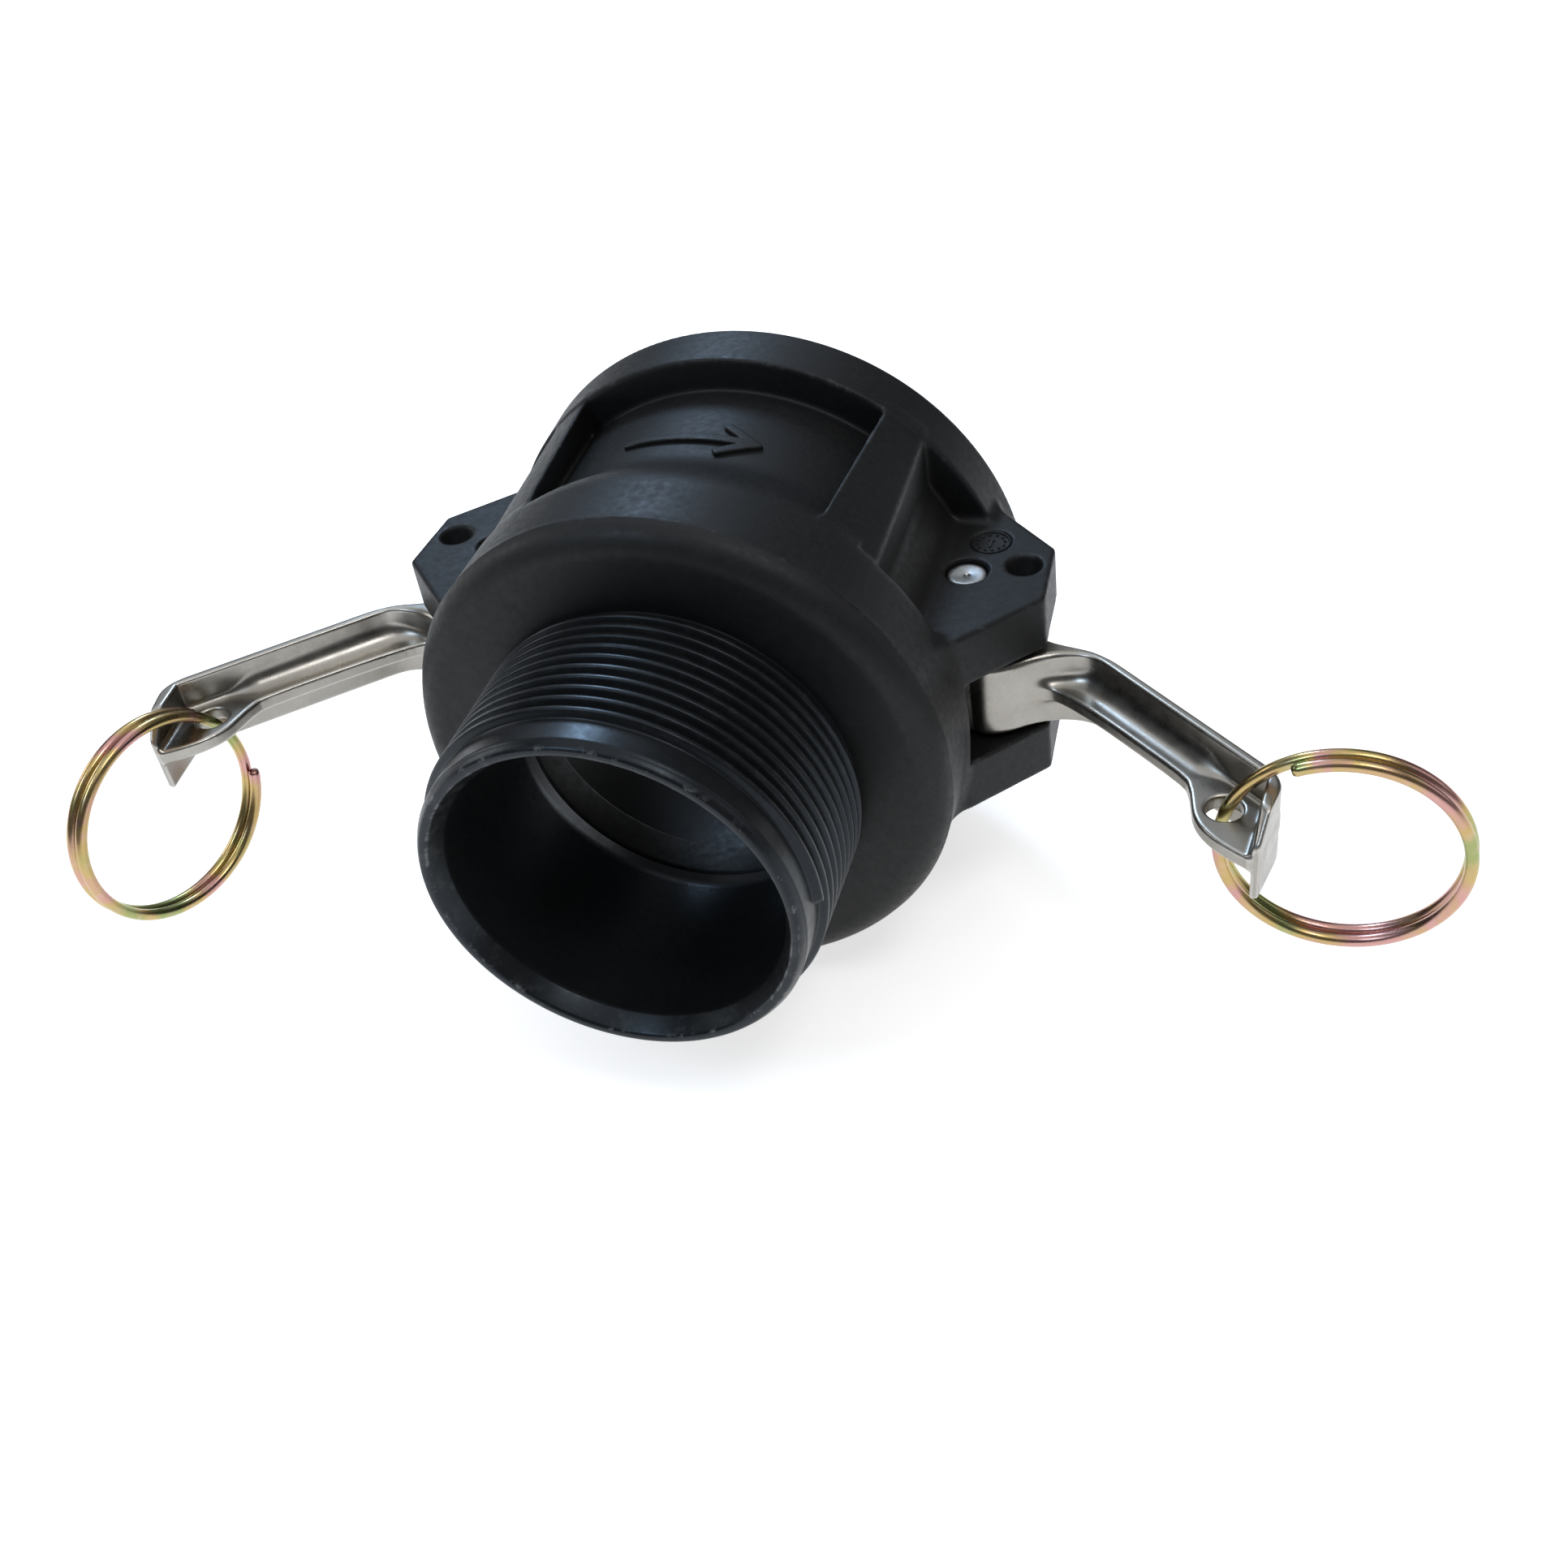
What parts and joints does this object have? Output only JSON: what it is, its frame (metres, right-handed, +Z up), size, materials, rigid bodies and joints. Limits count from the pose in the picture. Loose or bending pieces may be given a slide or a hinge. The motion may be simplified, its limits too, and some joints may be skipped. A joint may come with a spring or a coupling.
{
  "type": "camlock coupling",
  "caption": "Plastic cam and groove hose coupling: a gasketed socket with swinging cam arms and pull rings, and a threaded pipe end.",
  "frame": {"origin": "Bottom centre of the whole assembly's bounding box, lying on its side with the pivot pins upright and the arms as they are drawn open.", "axes": "+Y runs along the coupling axis from the threaded end to the socket mouth, +Z is up along the pivot pins, +X is towards the right-hand arm when looking from the threaded end with the pins upright."},
  "size_m": [0.2053, 0.0846, 0.0868],
  "materials": {
    "body_plastic": "black glass-filled polypropylene, fine grain",
    "gasket_rubber": "black nitrile",
    "cast_stainless": "cast stainless, tumbled bright",
    "pin_steel": "turned stainless, knurled ends",
    "zinc_wire": "steel wire, yellow zinc passivate"
  },
  "bodies": {
    "body": {"coupler_body": "body_plastic", "gasket": "gasket_rubber", "pivot_pin_left": "pin_steel", "pivot_pin_right": "pin_steel"},
    "arm_left": {"cam_arm_left": "cast_stainless"},
    "arm_right": {"cam_arm_right": "cast_stainless"},
    "ring_left": {"pull_ring_left": "zinc_wire"},
    "ring_right": {"pull_ring_right": "zinc_wire"}
  },
  "joints": [
    {"name": "arm_left_hinge", "type": "hinge", "parent": "body", "child": "arm_left", "pos_m": [-0.04985, 0.0195, 0.0434], "axis": [0, 0, 1], "range_deg": [-56.4, 48.4]},
    {"name": "arm_right_hinge", "type": "hinge", "parent": "body", "child": "arm_right", "pos_m": [0.02795, 0.0195, 0.0434], "axis": [0, 0, 1], "range_deg": [-48.4, 56.4]},
    {"name": "ring_left_swivel", "type": "hinge", "parent": "arm_left", "child": "ring_left", "pos_m": [-0.09122, -0.01162, 0.04307], "axis": [0, 0, 1], "range_deg": [-1, 17]},
    {"name": "ring_right_swivel", "type": "hinge", "parent": "arm_right", "child": "ring_right", "pos_m": [0.06932, -0.01162, 0.04307], "axis": [0, 0, 1], "range_deg": [-58, 14]}
  ]
}
